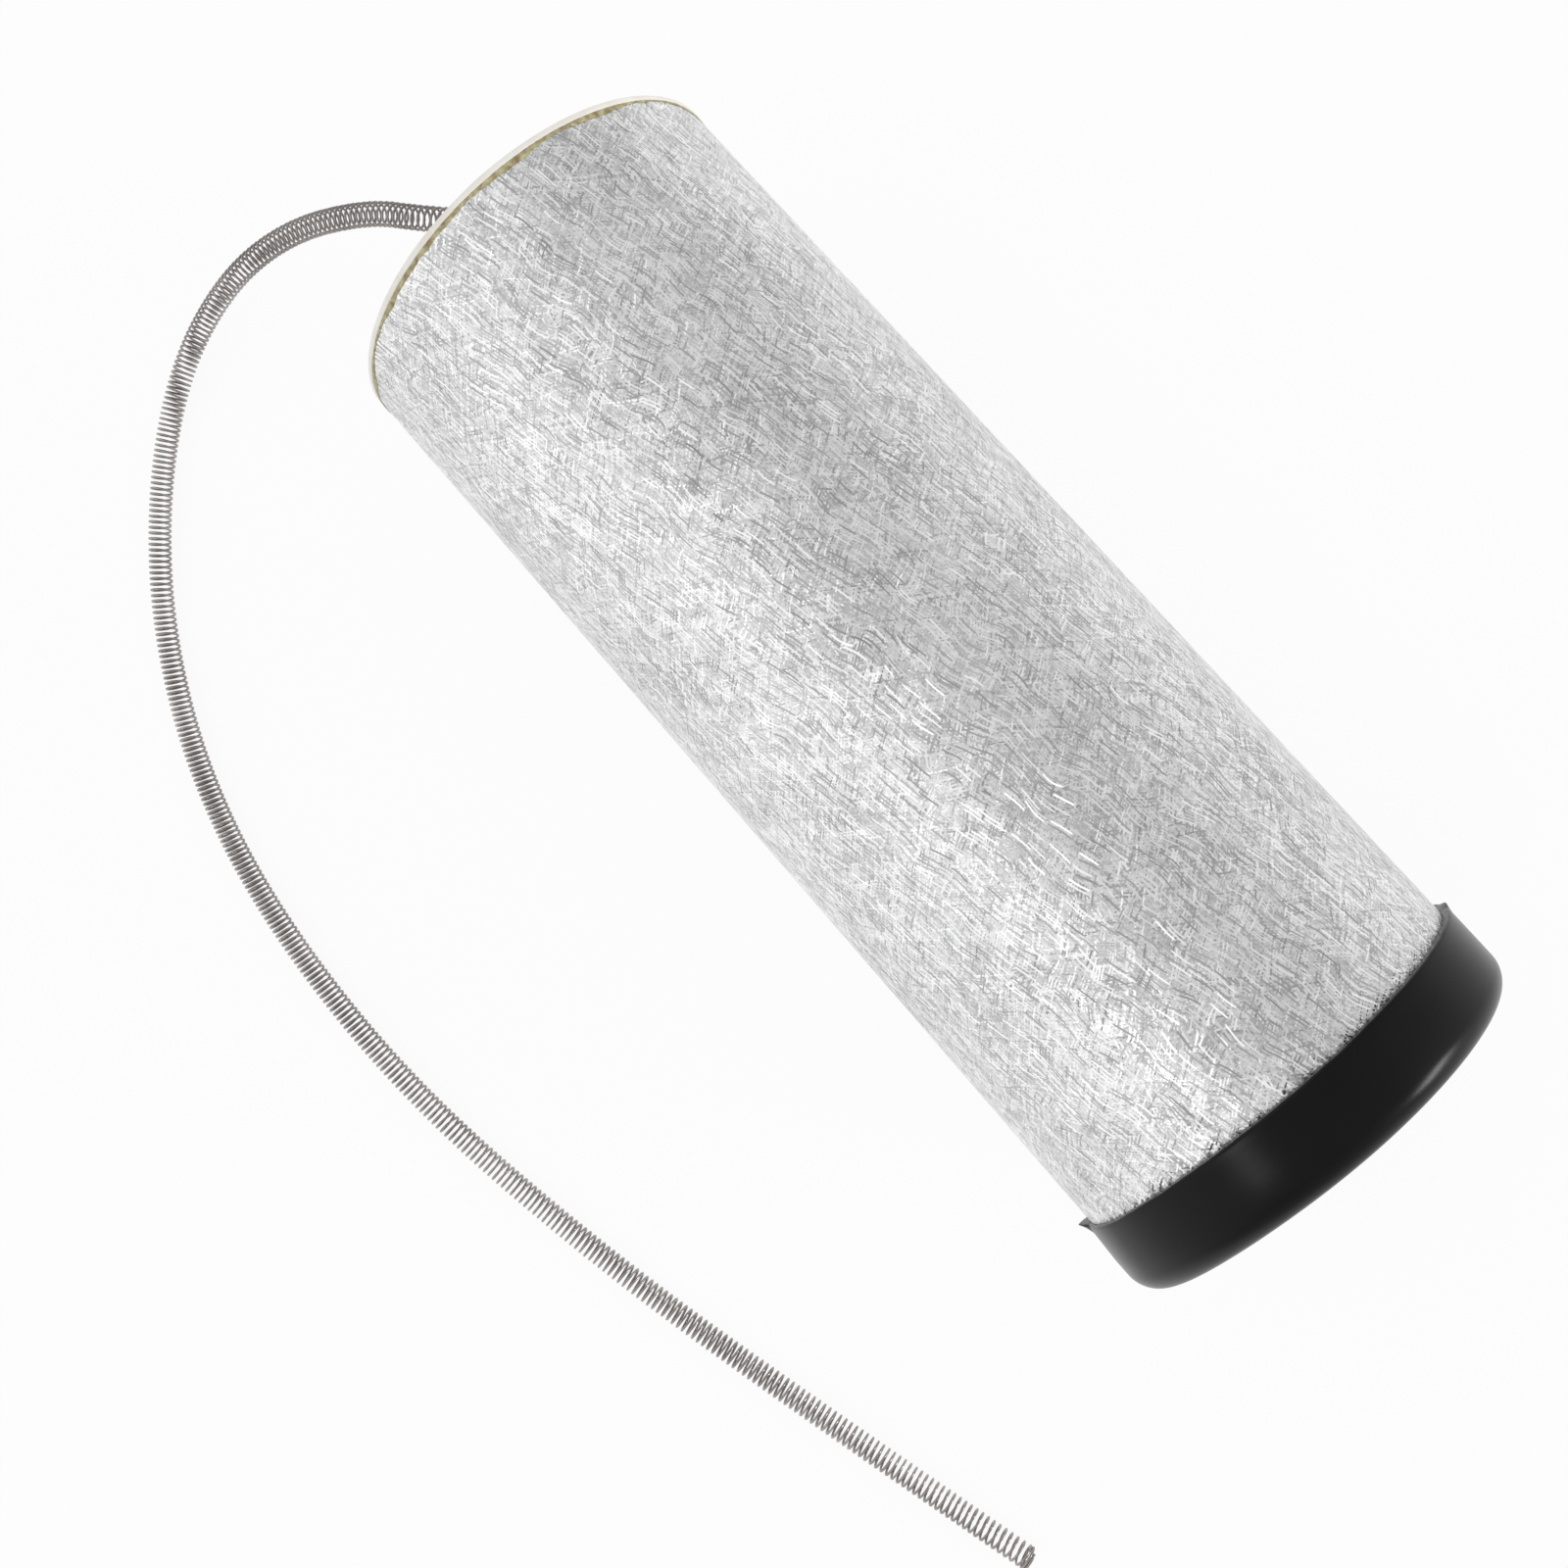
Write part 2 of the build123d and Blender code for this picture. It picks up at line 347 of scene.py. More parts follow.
def add_bump(tree, surface, height, strength, depth):
    """Raise the surface by a height value, with its depth in millimetres."""
    inputs = {"Height": height, "Strength": strength, "Distance": depth * mm}
    bump = add_node(tree, "ShaderNodeBump", inputs)
    tree.links.new(bump.outputs["Normal"], surface.inputs["Normal"])


# Finishes
stroke_layers = 14
stroke_start = 40  # direction of the silver film's lowest strokes, in degrees
stroke_turn = 67  # and the turn from each layer to the next
stroke_width = 0.26  # millimetres
stroke_slope = 0.42  # steepest slope of a stroke


def bent_place(tree, place, scale, reach, seed):
    """The place pushed about by a soft noise, so that straight strokes bend and change direction."""
    inputs = {"Vector": place, "W": seed, "Scale": scale, "Detail": 1.0}
    push = add_node(tree, "ShaderNodeTexNoise", inputs, noise_dimensions="4D").outputs["Color"]
    centred = add_vector(tree, "SUBTRACT", push, (0.5, 0.5, 0.5))
    push = add_vector(tree, "MULTIPLY", centred, (reach, reach, 0))
    return add_vector(tree, "ADD", place, push)


def silver_film_finish():
    """Metallised film, embossed all over with crossed hair strokes that tilt it each their own way and so
    catch the light differently; each stroke's colour is also drawn lighter or darker, as painted glints and
    shade.
    """
    material, tree, surface = new_material("silver_film", Metallic=1.0)
    place = around_tube(tree)
    bends = [bent_place(tree, place, 0.13, 3.0, 31.0), bent_place(tree, place, 0.10, 4.0, 57.0)]
    inputs = {"Vector": place, "Scale": 0.09, "Detail": 2.0}
    patch = add_node(tree, "ShaderNodeTexNoise", inputs).outputs["Color"]
    patches = add_node(tree, "ShaderNodeSeparateColor", {"Color": patch}).outputs
    covers = [add_range(tree, patches[index], 0.40, 0.60, 0.7, 1.0) for index in range(3)]
    slopes_and_glint = (0, 0, 0)
    for index in range(stroke_layers):
        angle = (stroke_turn * index + stroke_start) % 180
        length = 3.0 + 1.2 * (index % 4)
        seed = 11.3 * index
        bend = bends[index % len(bends)]
        cover = covers[index % len(covers)]
        layer = add_strokes(tree, bend, angle, length, stroke_width, seed, cover, slopes_and_glint)
        slopes_and_glint = layer["Slopes_and_Glint"]
    normal = add_node(tree, "ShaderNodeNewGeometry").outputs["Normal"]
    round_it = add_vector(tree, "CROSS_PRODUCT", normal, (1, 0, 0))
    lean_along = add_math(tree, "MULTIPLY", add_dot(tree, slopes_and_glint, (1, 0, 0)), stroke_slope)
    lean_round = add_math(tree, "MULTIPLY", add_dot(tree, slopes_and_glint, (0, 1, 0)), stroke_slope)
    lean = add_scaled(tree, round_it, lean_round)
    forward = add_node(tree, "ShaderNodeCombineXYZ", {"X": lean_along}).outputs["Vector"]
    lean = add_vector(tree, "ADD", lean, forward)
    tilted = add_unit(tree, add_vector(tree, "ADD", normal, lean))
    tree.links.new(tilted, surface.inputs["Normal"])
    cloud = add_range(tree, add_noise(tree, place, 0.05, seed=2.0), 0.3, 0.7, 0.06, 0.20)
    # Painted glints and shade: each stroke's base colour is drawn from grey to white; the cloud adds a soft
    # random tone and lifts the whole film.
    shade = add_range(tree, add_dot(tree, slopes_and_glint, (0, 0, 1)), -1, 1, 0.0, 1.0)
    shade = add_math(tree, "ADD", shade, cloud)
    colour = add_mix(tree, shade, (0.33, 0.33, 0.34, 1), (1.0, 1.0, 1.0, 1))
    tree.links.new(colour, surface.inputs["Base Color"])
    tree.links.new(add_range(tree, shade, 0.0, 1.0, 0.40, 0.35), surface.inputs["Roughness"])
    return material


def black_cap_finish():
    """Soft black plastic, satin, with a faint moulded grain and a few rubbed patches."""
    material, tree, surface = new_material("black_cap", Specular_IOR_Level=0.17)
    place = object_place(tree)
    rubbed = add_noise(tree, place, 60.0, detail=4.0, seed=1.0)
    grain = add_noise(tree, place, 2600.0, detail=2.0, seed=5.0)
    paint(tree, surface, rubbed, 0.35, 0.75, (0.002, 0.002, 0.0022, 1), (0.004, 0.004, 0.0042, 1))
    roughen(tree, surface, rubbed, 0.23, 0.31)
    add_bump(tree, surface, grain, 0.10, 0.05)
    return material


def spring_steel_finish():
    """Drawn wire, dull grey-brown with a little stain along it."""
    material, tree, surface = new_material("spring_steel", Metallic=1.0)
    place = object_place(tree)
    stain = add_noise(tree, place, 90.0, detail=3.0, seed=3.0)
    drawn = add_noise(tree, place, 1500.0, detail=1.0, seed=8.0)
    paint(tree, surface, stain, 0.3, 0.7, (0.26, 0.235, 0.225, 1), (0.42, 0.39, 0.375, 1))
    roughen(tree, surface, drawn, 0.20, 0.32)
    return material


def pale_film_finish():
    """Stiff milky film, cloudy and a little yellowed."""
    material, tree, surface = new_material("pale_film", Roughness=0.45)
    place = object_place(tree)
    cloud = add_noise(tree, place, 260.0, detail=5.0, seed=4.0)
    paint(tree, surface, cloud, 0.3, 0.7, (0.86, 0.815, 0.735, 1), (0.94, 0.915, 0.865, 1))
    add_bump(tree, surface, cloud, 0.06, 0.1)
    return material


def olive_glue_finish():
    """Dried glue, olive with brown streaks."""
    material, tree, surface = new_material("olive_glue")
    place = object_place(tree)
    streak = add_noise(tree, place, 900.0, detail=5.0, seed=6.0)
    paint(tree, surface, streak, 0.35, 0.65, (0.26, 0.19, 0.09, 1), (0.56, 0.53, 0.30, 1))
    roughen(tree, surface, streak, 0.30, 0.6)
    add_bump(tree, surface, streak, 0.5, 0.2)
    return material


def kraft_board_finish():
    """Spiral-wound board: brown fibres, with the butted edges of its strips."""
    winding_slope = 0.55
    strip_width = 36.0  # millimetres along the tube, and the width of the dark line at a strip's edge
    gap = 0.5
    material, tree, surface = new_material("kraft_board", Roughness=0.85)
    place = around_tube(tree)
    axes = add_node(tree, "ShaderNodeSeparateXYZ", {"Vector": place}).outputs
    wound = add_math(tree, "ADD", axes["X"], add_math(tree, "MULTIPLY", axes["Y"], winding_slope))
    seam = add_math(tree, "PINGPONG", wound, strip_width)
    line = add_range(tree, seam, 0.0, gap, 1.0, 0.0)
    fibre = add_strokes(tree, place, 35, 3.0, 0.25, 12.0)["Strokes"]
    mottle = add_noise(tree, place, 0.3, detail=5.0, seed=7.0)
    shade = add_range(tree, mottle, 0.3, 0.7, 0.0, 1.0)
    brown = add_mix(tree, shade, (0.33, 0.22, 0.12, 1), (0.46, 0.33, 0.20, 1))
    pale = add_mix(tree, add_range(tree, fibre, 0.1, 1.0, 0.0, 0.5), brown, (0.58, 0.45, 0.31, 1))
    colour = add_mix(tree, line, pale, (0.12, 0.08, 0.045, 1))
    tree.links.new(colour, surface.inputs["Base Color"])
    add_bump(tree, surface, add_math(tree, "SUBTRACT", fibre, line), 0.4, 0.15)
    return material


def patch_vinyl_finish():
    """Satin vinyl, slightly yellowed and scuffed."""
    material, tree, surface = new_material("patch_vinyl")
    place = object_place(tree)
    scuff = add_noise(tree, place, 500.0, detail=4.0, seed=9.0)
    paint(tree, surface, scuff, 0.35, 0.7, (0.78, 0.77, 0.73, 1), (0.66, 0.65, 0.60, 1))
    roughen(tree, surface, scuff, 0.35, 0.55)
    add_bump(tree, surface, scuff, 0.2, 0.05)
    return material


def plated_finish(name, dull, bright, low_roughness, high_roughness):
    """Plated or stamped metal with fine tool marks."""
    material, tree, surface = new_material(name, Metallic=1.0)
    place = object_place(tree)
    marks = add_noise(tree, place, 900.0, detail=3.0, seed=11.0)
    paint(tree, surface, marks, 0.3, 0.7, dull, bright)
    roughen(tree, surface, marks, low_roughness, high_roughness)
    add_bump(tree, surface, marks, 0.1, 0.03)
    return material


def bead_nylon_finish():
    """Natural nylon, slightly cloudy."""
    material, tree, surface = new_material("bead_nylon", Roughness=0.35, Subsurface_Weight=0.2)
    surface.inputs["Subsurface Radius"].default_value = (mm, mm, mm)
    place = object_place(tree)
    cloud = add_noise(tree, place, 700.0, detail=2.0, seed=13.0)
    colour = add_mix(tree, cloud, (0.78, 0.76, 0.69, 1), (0.90, 0.88, 0.82, 1))
    tree.links.new(colour, surface.inputs["Base Color"])
    return material


silver_film = silver_film_finish()
black_cap = black_cap_finish()
spring_steel = spring_steel_finish()
pale_film = pale_film_finish()
olive_glue = olive_glue_finish()
kraft_board = kraft_board_finish()
patch_vinyl = patch_vinyl_finish()
nickel = plated_finish("nickel", (0.60, 0.57, 0.52, 1), (0.76, 0.73, 0.68, 1), 0.16, 0.28)
washer_steel = plated_finish("washer_steel", (0.42, 0.42, 0.43, 1), (0.62, 0.62, 0.63, 1), 0.28, 0.42)
bead_nylon = bead_nylon_finish()

# Camera
camera_place = Vector((0.03813, 0.0, 0.31753))
camera_target = Vector((-0.00605, -0.03285, 0.0))
camera_roll = math.radians(-78.177)
camera_lens = 37.087
sensor_width = 36

camera = bpy.data.objects.new("camera", bpy.data.cameras.new("camera"))
bpy.context.scene.collection.objects.link(camera)
camera.location = camera_place
level = (camera_target - camera_place).to_track_quat("-Z", "Y")
camera.rotation_mode = "QUATERNION"
camera.rotation_quaternion = level @ Quaternion((0, 0, 1), camera_roll)
camera.data.sensor_width = sensor_width
camera.data.lens = camera_lens
camera.data.clip_start = 0.01
bpy.context.scene.camera = camera

# Spring: route of its middle line, as distance along X from the drumhead, sideways place and height
floor_line = spring_diameter / 2
spring_route = [
    (-0.0027, 0.0, axis_height),
    (-0.0090, 0.0000, axis_height),
    (-0.0150, -0.0025, 0.0393),
    (-0.0255, -0.0105, 0.0368),
    (-0.0380, -0.0175, 0.0305),
    (-0.0530, -0.0325, 0.0205),
    (-0.0615, -0.0505, 0.0100),
    (-0.0595, -0.0720, floor_line),
    (-0.0425, -0.0930, floor_line),
    (-0.0190, -0.1115, floor_line),
    (0.0110, -0.1255, floor_line),
    (0.0460, -0.1323, floor_line),
    (0.0900, -0.1323, floor_line),
    (0.1400, -0.1230, floor_line),
    (0.1880, -0.1096, floor_line),
    (0.2360, -0.0946, floor_line),
]
spring_pitches = [  # distance along the spring and the pitch there, in millimetres
    (0, 1.45),
    (40, 1.55),
    (60, 1.42),
    (78, 1.33),
    (102, 1.09),
    (118, 1.11),
    (150, 1.22),
    (206, 1.08),
    (290, 1.19),
    (415, 1.24),
    (430, 1.40),
]
opening_turns = 1.2  # turns over which the coil opens out from the tail, and how sharply it does
opening_power = 0.7
closed_turns = 2.0  # turns that lie close together at the free end
closed_pitch = 1.04 * wire_diameter
turn_steps = 14  # points of the wire in one turn
wire_sides = 6
coil_radius = (spring_diameter - wire_diameter) / 2
hook_end = Vector((bead_high.x + hook_gap, 0, axis_height))  # where the tail bends up behind the bead


def route_line():
    """Points of the smooth curve that the spring's middle line follows."""
    curve = bpy.data.curves.new("spring_route", "CURVE")
    curve.dimensions = "3D"
    curve.resolution_u = 48
    spline = curve.splines.new("NURBS")
    spline.points.add(len(spring_route) - 1)
    for point, (x, y, z) in zip(spline.points, spring_route):
        point.co = (film_low.x + x, y, z, 1.0)
    spline.order_u = 3
    spline.use_endpoint_u = True
    holder = bpy.data.objects.new("spring_route", curve)
    mesh = bpy.data.meshes.new_from_object(holder)
    points = [vertex.co.copy() for vertex in mesh.vertices]
    bpy.data.meshes.remove(mesh)
    bpy.data.objects.remove(holder)
    bpy.data.curves.remove(curve)
    return points


def along_line(points):
    """Distances of the points along their line."""
    distances = [0.0]
    for before, after in zip(points, points[1:]):
        distances.append(distances[-1] + (after - before).length)
    return distances


def pitch_at(distance):
    """The spring's pitch at a distance along it."""
    for (start, first), (end, last) in zip(spring_pitches, spring_pitches[1:]):
        if distance <= end * mm:
            share = (distance / mm - start) / (end - start)
            return (first + (last - first) * share) * mm
    return spring_pitches[-1][1] * mm


def coil_points(line):
    """Points of the wire as it coils round the line, opening out from the straight tail at its start."""
    distances = along_line(line)
    total = distances[-1]
    opening = opening_turns * pitch_at(0.0)
    closing = closed_turns * wire_diameter
    points = []
    turn = 0.0
    reached = 0.0
    piece = 0
    tangent = (line[1] - line[0]).normalized()
    side = Vector((0, 1, 0))
    while reached < total:
        while piece < len(line) - 2 and distances[piece + 1] < reached:
            piece += 1
        run = distances[piece + 1] - distances[piece]
        centre = line[piece].lerp(line[piece + 1], (reached - distances[piece]) / run)
        heading = (line[piece + 1] - line[piece]).normalized()
        side = tangent.rotation_difference(heading) @ side
        tangent = heading
        side = (side - tangent * side.dot(tangent)).normalized()
        up = tangent.cross(side)
        angle = 2 * math.pi * turn
        radius = coil_radius * min(1.0, reached / opening) ** opening_power
        points.append(centre + (side * math.cos(angle) - up * math.sin(angle)) * radius)
        pitch = pitch_at(reached) if total - reached > closing else closed_pitch
        reached += pitch / turn_steps
        turn += 1 / turn_steps
    return points


def wire_tube(points, diameter, sides):
    """A bmesh tube along points, with its ends closed."""
    bm = bmesh.new()
    heading = (points[1] - points[0]).normalized()
    side = heading.orthogonal().normalized()
    rings = []
    for index, point in enumerate(points):
        before = points[max(index - 1, 0)]
        after = points[min(index + 1, len(points) - 1)]
        turn_to = (after - before).normalized()
        side = heading.rotation_difference(turn_to) @ side
        heading = turn_to
        side = (side - heading * side.dot(heading)).normalized()
        up = heading.cross(side)
        ring = []
        for k in range(sides):
            angle = 2 * math.pi * k / sides
            ring.append(bm.verts.new(point + (side * math.cos(angle) + up * math.sin(angle)) * diameter / 2))
        rings.append(ring)
    for ring, after in zip(rings, rings[1:]):
        for k in range(sides):
            bm.faces.new((ring[k - 1], ring[k], after[k], after[k - 1]))
    bm.faces.new(rings[0])
    bm.faces.new(reversed(rings[-1]))
    return bm


def tail_points(start):
    """The wire's hook behind the bead, and its straight tail out through the eyelet."""
    hook_steps = 4
    bend_steps = 6
    tail_steps = 8
    centre = hook_end + Vector((0, 0, hook_bend_radius))
    points = []
    for step in range(hook_steps, 0, -1):
        points.append(centre + Vector((hook_bend_radius, 0, hook_length * step / hook_steps)))
    for step in range(bend_steps + 1):
        angle = math.radians(90 / bend_steps * step)
        points.append(centre + Vector((math.cos(angle), 0, -math.sin(angle))) * hook_bend_radius)
    points += [hook_end.lerp(start, step / tail_steps) for step in range(1, tail_steps)]
    return points


def make_spring():
    """The long spring with its tail and hook, one unbroken wire."""
    line = route_line()
    wire = tail_points(line[0]) + coil_points(line)
    bm = wire_tube(wire, wire_diameter, wire_sides)
    spring = add_piece("spring_wire", bm, spring_steel, "spring", "spring_steel", "spring", sharp_angle=75)
    middle = [hook_end] + line
    length = along_line(middle)[-1]
    return spring


make_spring()


# Silver sleeve
head_lean = 0.75 * mm  # how far the tube's front end is cut askew, at its rim
lean_length = 60 * mm  # length of tube over which that fades


def lean_at(x, radius, angle):
    """How far a point near the front end moves along the tube, since the end is cut slightly askew."""
    share = max(0.0, (radius - patch_radius) / (film_radius - patch_radius))
    near_front = max(0.0, 1 - max(0.0, x - wrap_low.x) / lean_length)
    return head_lean * share * near_front * math.sin(angle)


def make_sleeve():
    """Film wrapped round the tube, with a butt seam and slight dents from the board below."""
    columns = 288
    rows = 90
    half_gap = wrap_seam / 2 / wrap_radius
    dent_depth = 0.06 * mm
    dent_scale = 45
    bm = bmesh.new()
    layers = []
    for radius in (wrap_radius, wrap_radius - wrap_thickness):
        grid = []
        for row in range(rows + 1):
            x = wrap_low.x + (wrap_high.x - wrap_low.x) * row / rows
            line = []
            for column in range(columns + 1):
                share = column / columns
                angle = wrap_seam_angle + half_gap + (2 * math.pi - 2 * half_gap) * share
                point = on_tube(x, radius, angle)
                dent = 0.5 + 0.5 * noise.noise(point * dent_scale)
                leaning_x = x + lean_at(x, radius, angle)
                line.append(bm.verts.new(on_tube(leaning_x, radius - dent_depth * dent, angle)))
            grid.append(line)
        layers.append(grid)
    outer, inner = layers
    for grid in layers:
        for line, after in zip(grid, grid[1:]):
            for k in range(columns):
                bm.faces.new((line[k], line[k + 1], after[k + 1], after[k]))
    for row in (0, rows):
        for k in range(columns):
            bm.faces.new((outer[row][k], outer[row][k + 1], inner[row][k + 1], inner[row][k]))
    for column in (0, columns):
        for k in range(rows):
            bm.faces.new((outer[k][column], outer[k + 1][column], inner[k + 1][column], inner[k][column]))
    return add_piece("silver_sleeve", bm, silver_film, "tube", "silver_film", "silver_wrap")


sleeve = make_sleeve()


# Black end cap
def make_cap():
    """Soft ring cap with a rounded end, a wide mouth and a slightly uneven lip."""
    bore = wrap_radius + cap_clearance
    lip = cap_low.x
    end = cap_high.x
    seat = end - cap_floor
    flat = cap_radius - cap_end_radius
    edge = mouth_edge_radius
    profile = [(lip, bore)]
    profile += corner_arc(lip + cap_lip_radius, cap_radius - cap_lip_radius, cap_lip_radius, 180, 90, 6)
    profile += corner_arc(end - cap_end_radius, flat, cap_end_radius, 90, 0, 16)
    profile += corner_arc(end - edge, mouth_radius + edge, edge, 0, -90, 5)
    profile += [(seat, mouth_radius), (seat, bore)]
    profile = split_runs(profile, 1.2 * mm)
    lip_depth = 1.2 * mm  # part of the skirt that is uneven at the lip
    uneven = 0.12 * mm
    lift = 2.1 * mm  # how far the cap stands off its seat on the spring's side
    far_side = 0.5 * mm  # how much thinner the skirt is on the side away from the spring
    near_side = 0.85 * mm  # how much thinner it is on the spring's side
    near_lip_only = 0.35 * mm  # and how much more at the lip there
    lip_fade = 7 * mm  # length of skirt over which that fades
    slump = 0.8 * mm  # how far the upper side falls off towards the rounded end
    slump_start = 0.45  # part of the cap's length where that begins
    bore_skin = 0.3 * mm  # points this close to the bore keep its radius
    tabs = [(274, 5, 1.6 * mm), (86, 4, 0.6 * mm)]  # angle and half width in degrees, and height
    tab_power = 0.7  # below one, so that a tab is blunt

    def tab_height(angle):
        """Height of the small moulding tabs at an angle round the lip."""
        total = 0.0
        for place, half_width, height in tabs:
            away = abs(math.degrees(angle) - place) / half_width
            total += height * max(0.0, 1 - away) ** tab_power
        return total

    def shape(x, radius, angle):
        near_lip = max(0.0, 1 - (x - lip) / lip_depth)
        side = max(0.0, -math.sin(angle)) ** 3
        shift = near_lip * uneven * (ripple(angle, 5.0, 1.0) + 0.6 * ripple(angle, 21.0, 2.0)) + lift * side
        outward = (radius - flat) / cap_end_radius
        if x < lip + cap_lip_radius:
            outward = (radius - bore) / (cap_radius - bore)
        elif x <= seat and radius < bore + bore_skin:
            outward = 0.0
        outward = max(0.0, outward)
        taper = far_side * max(0.0, math.sin(angle)) ** 2
        taper += side * (near_side + near_lip_only * max(0.0, 1 - (x - lip) / lip_fade))
        late = max(0.0, (x - lip) / (end - lip) - slump_start) / (1 - slump_start)
        taper += slump * late ** 2 * max(0.0, math.cos(angle))
        flash = near_lip * tab_height(angle) * outward
        return x + shift - 0.5 * flash, radius - taper * outward + flash

    return add_piece("ring_cap", turned(profile, 360, shape), black_cap, "tube", "black_cap", "end_cap")


cap = make_cap()


# Drumhead and its glue
def make_drumhead():
    """Stiff film disc, trimmed by hand, with a rolled rim and a hole for the eyelet."""
    hole = eyelet_bore_radius + eyelet_wall
    front, back = film_low.x, film_high.x
    edge = film_radius - film_edge_radius
    rolled = back + 0.3 * mm  # how far the rim rolls back over the glue
    profile = [(back, hole)]
    profile += [(back, wrap_radius - 1.0 * mm), (rolled, wrap_radius - 0.6 * mm)]
    profile += corner_arc(rolled - film_edge_radius, edge, film_edge_radius, 0, 90, 4)
    profile += corner_arc(front + film_edge_radius, edge, film_edge_radius, 90, 180, 4)
    profile += [(front, hole)]
    profile = split_runs(profile, 2.0 * mm)
    trim = 0.12 * mm  # how far the hand-cut rim wanders, and how deep into the disc that goes
    trim_depth = 1.5 * mm

    def shape(x, radius, angle):
        near_rim = max(0.0, 1 - (film_radius - radius) / trim_depth)
        wave = ripple(angle, 4.0, 3.0) + 0.5 * ripple(angle, 17.0, 4.0)
        return x + lean_at(x, radius, angle), radius + near_rim * trim * wave

    return add_piece("drum_film", turned(profile, 288, shape), pale_film, "tube", "pale_film", "drumhead")


def make_glue():
    """Ring of dried glue between the film and the tube's end, squeezed out here and there over the sleeve."""
    inner = core_radius - core_wall
    front, back = glue_low.x, glue_high.x
    squeeze = 0.9 * mm  # how far the glue reaches over the sleeve, and how thick it lies there
    lift = 0.10 * mm
    lumps = 0.04 * mm
    profile = [(back, inner), (back, wrap_radius - 0.1 * mm)]
    profile += [(back + squeeze, wrap_radius + 0.01 * mm), (back + 0.8 * squeeze, wrap_radius + 0.7 * lift)]
    profile += [(back + 0.4 * squeeze, wrap_radius + lift), (back, wrap_radius + lift)]
    profile += [(front, wrap_radius + 0.5 * lift), (front, inner)]

    def shape(x, radius, angle):
        share = 0.45 + 1.1 * ripple(angle, 3.0, 5.0) + 0.5 * ripple(angle, 11.0, 6.0)
        share += 0.2 * ripple(angle, 60.0, 2.0)
        reach = max(0.0, x - back) * min(1.0, max(0.04, share))
        lump = lumps * ripple(angle, 50.0, 8.0) if radius > wrap_radius else 0.0
        return min(x, back) + reach + lean_at(x, radius, angle), radius + lump

    return add_piece("glue_ring", turned(profile, 480, shape), olive_glue, "tube", "olive_glue", "head_glue")


make_drumhead()
make_glue()


# Board tube
def make_core():
    """Paperboard tube with slightly rounded end edges."""
    inner = core_radius - core_wall
    soft = 0.3 * mm
    front, back = core_low.x, core_high.x
    profile = corner_arc(front + soft, inner + soft, soft, 270, 180, 3)
    profile += corner_arc(front + soft, core_radius - soft, soft, 180, 90, 3)
    profile += corner_arc(back - soft, core_radius - soft, soft, 90, 0, 3)
    profile += corner_arc(back - soft, inner + soft, soft, 0, -90, 3)
    profile = split_runs(profile, 8 * mm)

    def shape(x, radius, angle):
        return x + lean_at(x, radius, angle), radius

    bm = turned(profile, 192, shape)
    return add_piece("board_tube", bm, kraft_board, "tube", "kraft_board", "tube_core")


make_core()


# Anchor at the drumhead's centre
def make_patch():
    """Reinforcing disc with a softened rim."""
    hole = eyelet_bore_radius + eyelet_wall
    soft = 0.12 * mm
    front, back = patch_low.x, patch_high.x
    profile = [(back, hole), (back, patch_radius)]
    profile += corner_arc(front + soft, patch_radius - soft, soft, 90, 180, 4)
    profile += [(front, hole)]
    profile = split_runs(profile, 1.0 * mm)
    return add_piece("vinyl_patch", turned(profile, 96), patch_vinyl, "tube", "patch_vinyl", "centre_patch")


def make_eyelet():
    """Tubular eyelet with a rolled flange outside and a set flange inside."""
    front, back = eyelet_low.x, eyelet_high.x
    outer = eyelet_bore_radius + eyelet_wall
    flange = 0.4 * mm
    roll = flange / 2
    profile = corner_arc(front + flange, eyelet_bore_radius + flange, flange, 270, 180, 6)
    profile += corner_arc(front + roll, eyelet_flange_radius - roll, roll, 180, 0, 8)
    profile += [(front + flange, outer), (back - flange, outer)]
    profile += corner_arc(back - roll, eyelet_flange_radius - roll, roll, 180, 0, 8)
    profile += corner_arc(back - flange, eyelet_bore_radius + flange, flange, 0, -90, 6)
    return add_piece("eyelet_ring", turned(profile, 72), nickel, "tube", "nickel", "eyelet")


def make_washer():
    """Stamped washer with rounded edges."""
    soft = 0.1 * mm
    front, back = washer_low.x, washer_high.x
    profile = corner_arc(front + soft, washer_bore_radius + soft, soft, 270, 180, 3)
    profile += corner_arc(front + soft, washer_radius - soft, soft, 180, 90, 3)
    profile += corner_arc(back - soft, washer_radius - soft, soft, 90, 0, 3)
    profile += corner_arc(back - soft, washer_bore_radius + soft, soft, 0, -90, 3)
    bm = turned(profile, 64)
    return add_piece("flat_washer", bm, washer_steel, "swivel", "washer_steel", "tail_washer")


make_patch()
make_eyelet()
make_washer()
bead = frame["nodes"]["stop_bead"]
bead.data.materials.clear()
bead.data.materials.append(bead_nylon)


# Stage: floor, world and lights
floor_half = 3.0
floor_glow = 0.92  # share of the floor that shows plain white; the rest takes the shadow
picture_right = (0.664, 0.748, 0)  # level direction that points right in the picture
ceiling_strength = 0.62
left_wall_strength = 0.44  # the walls' strengths are on top of the ceiling's
right_wall_strength = 0.16
box_distance = 2.5
# Soft boxes: direction from their target, the target, width and height
left_aim = (0.13, -0.54, 0.83), (0.09, -0.01, 0.07), 0.42, 0.42
right_aim = (0.69, 0.69, 0.22), (0.09, 0.02, 0.07), 0.9, 0.5


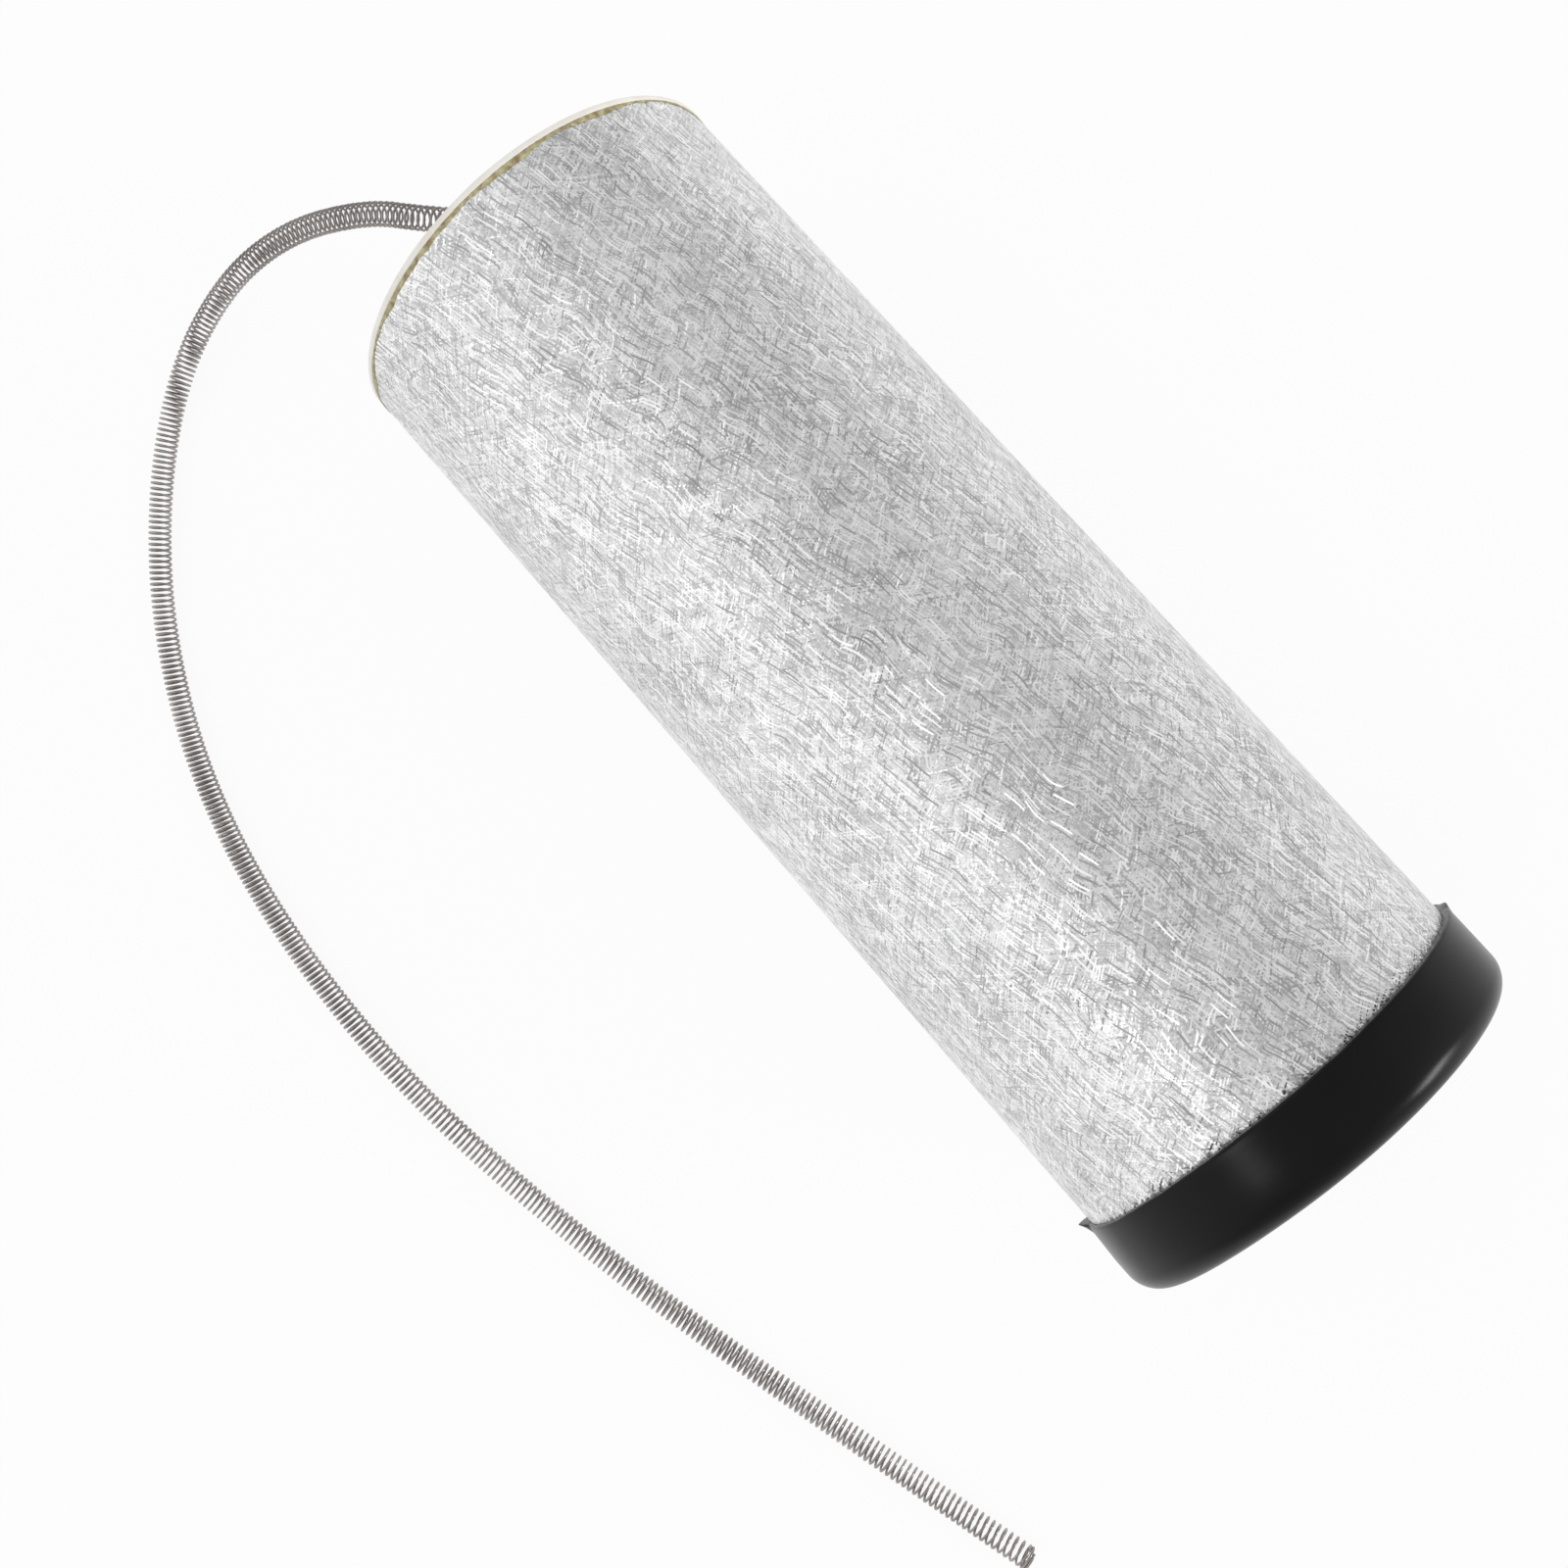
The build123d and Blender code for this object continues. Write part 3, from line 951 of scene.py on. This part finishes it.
def white_floor():
    """Pale floor that shows white to the camera and in reflections, and keeps a soft shadow."""
    material = bpy.data.materials.new("floor_white")
    material.use_nodes = True
    tree = material.node_tree
    tree.nodes.clear()
    matt = add_node(tree, "ShaderNodeBsdfDiffuse", {"Color": (0.9, 0.9, 0.9, 1)})
    glow = add_node(tree, "ShaderNodeEmission", {"Color": (1, 1, 1, 1), "Strength": 1.0})
    ray = add_node(tree, "ShaderNodeLightPath").outputs
    mirrored = add_math(tree, "MAXIMUM", ray["Is Glossy Ray"], ray["Is Transmission Ray"])
    seen = add_math(tree, "MAXIMUM", ray["Is Camera Ray"], mirrored)
    share = add_math(tree, "MULTIPLY", seen, floor_glow)
    mixed = add_node(tree, "ShaderNodeMixShader", {0: share, 1: matt.outputs[0], 2: glow.outputs[0]})
    result = add_node(tree, "ShaderNodeOutputMaterial", {"Surface": mixed.outputs[0]})
    result.is_active_output = True
    return material


corners = [(x, y, 0) for x, y in ((-1, -1), (1, -1), (1, 1), (-1, 1))]
floor_mesh = bpy.data.meshes.new("floor")
floor_mesh.from_pydata([Vector(corner) * floor_half for corner in corners], [], [(0, 1, 2, 3)])
floor = bpy.data.objects.new("floor", floor_mesh)
floor.data.materials.append(white_floor())
bpy.context.scene.collection.objects.link(floor)


def studio_world():
    """Soft studio light: a grey ceiling, a bright wall at the picture's left, a weaker one at its right."""
    world = bpy.data.worlds.new("studio")
    world.use_nodes = True
    tree = world.node_tree
    direction = add_node(tree, "ShaderNodeTexCoord").outputs["Generated"]
    rightward = add_dot(tree, direction, picture_right)
    left_wall = add_range(tree, rightward, -0.02, -0.72, 0.0, left_wall_strength, smooth=True)
    right_wall = add_range(tree, rightward, 0.45, 0.90, 0.0, right_wall_strength, smooth=True)
    strength = add_math(tree, "ADD", add_math(tree, "ADD", left_wall, right_wall), ceiling_strength)
    tree.links.new(strength, tree.nodes["Background"].inputs["Strength"])
    tree.nodes["Background"].inputs["Color"].default_value = (1, 1, 1, 1)
    return world


bpy.context.scene.world = studio_world()


def soft_box(name, direction, target, width, height, radiance):
    """A rectangular soft light in a direction from a point, with the brightness that its face shows."""
    light = bpy.data.lights.new(name, "AREA")
    light.shape = "RECTANGLE"
    light.size = width
    light.size_y = height
    light.energy = radiance * math.pi * width * height
    holder = bpy.data.objects.new(name, light)
    bpy.context.scene.collection.objects.link(holder)
    aim = Vector(direction).normalized()
    holder.location = Vector(target) + aim * box_distance
    holder.rotation_mode = "QUATERNION"
    holder.rotation_quaternion = (-aim).to_track_quat("-Z", "Y")
    return holder


def limit_light(light, piece, state):
    """Let a soft light shine on one piece only (INCLUDE), or on everything else (EXCLUDE)."""
    chosen = bpy.data.collections.new(light.name + "_limit")
    chosen.objects.link(piece)
    chosen.collection_objects[0].light_linking.link_state = state
    light.light_linking.receiver_collection = chosen


soft_box("left_box", *left_aim, 4.0)
left_cap_box = soft_box("left_cap_box", *left_aim, 5.0)
right_box = soft_box("right_box", *right_aim, 17.0)
limit_light(left_cap_box, cap, "INCLUDE")
limit_light(right_box, sleeve, "EXCLUDE")

bpy.context.scene.view_settings.view_transform = "Standard"
